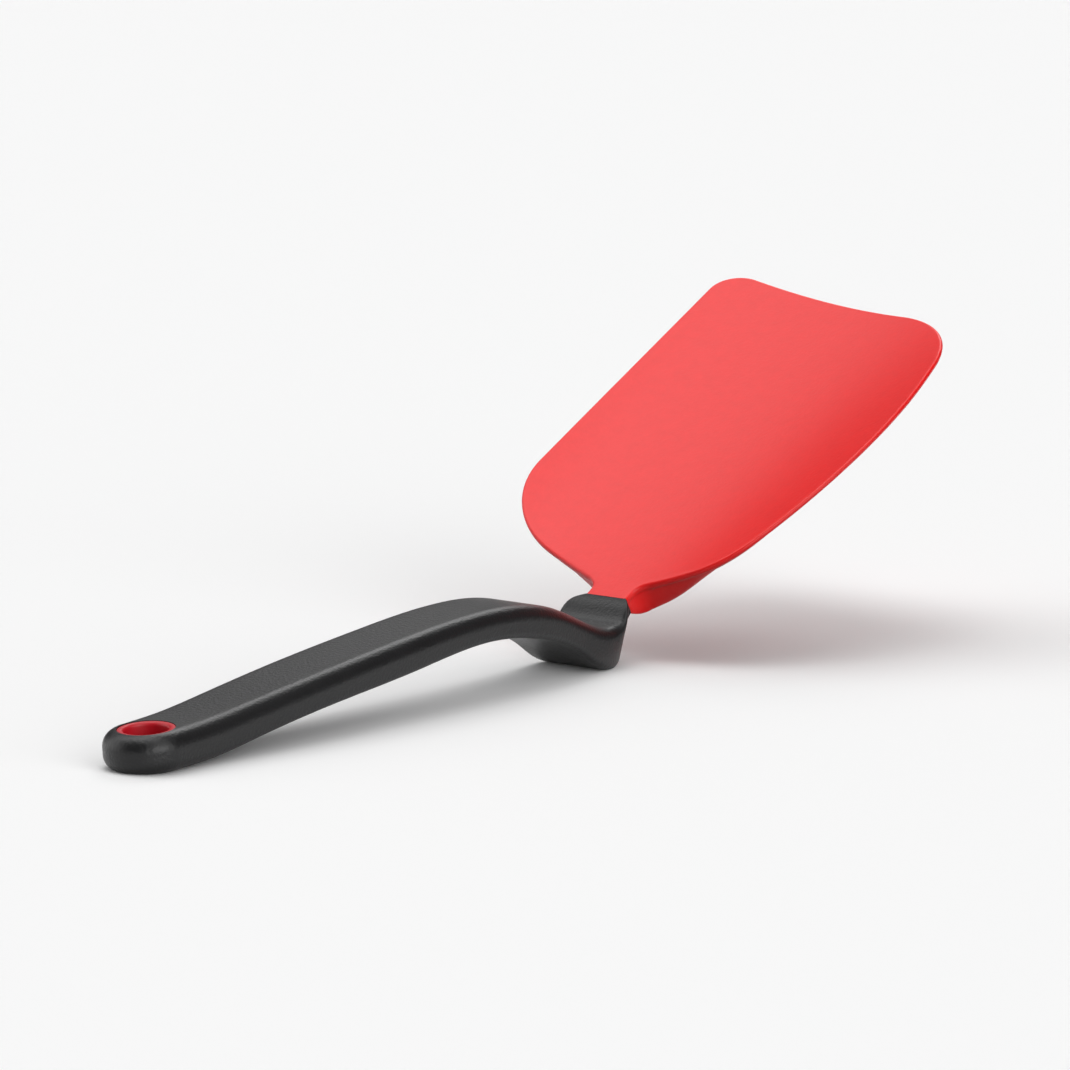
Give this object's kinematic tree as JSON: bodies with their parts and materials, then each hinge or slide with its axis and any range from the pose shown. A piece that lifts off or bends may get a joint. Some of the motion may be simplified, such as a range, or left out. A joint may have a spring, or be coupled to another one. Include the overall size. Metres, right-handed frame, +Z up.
{
  "type": "silicone spatula",
  "caption": "Kitchen turner with a dished silicone blade on a stiff core and an arched handle whose heel props the blade clear of the worktop, with a lined hanging hole.",
  "frame": {"origin": "on the worktop, under the middle of the whole spatula", "axes": "+X along the handle towards the blade's tip, +Y towards the blade's straight edge, +Z up"},
  "size_m": [0.3346, 0.1014, 0.0942],
  "materials": {
    "grip": "soft-touch black, fine matte texture",
    "spine": "plain moulded nylon",
    "ring": "smooth red",
    "blade": "satin red silicone",
    "core": "plain moulded nylon"
  },
  "bodies": {
    "root": {"grip_shell": "grip", "handle_core": "spine", "hang_ring": "ring", "blade_skin": "blade", "blade_core": "core"}
  },
  "joints": []
}
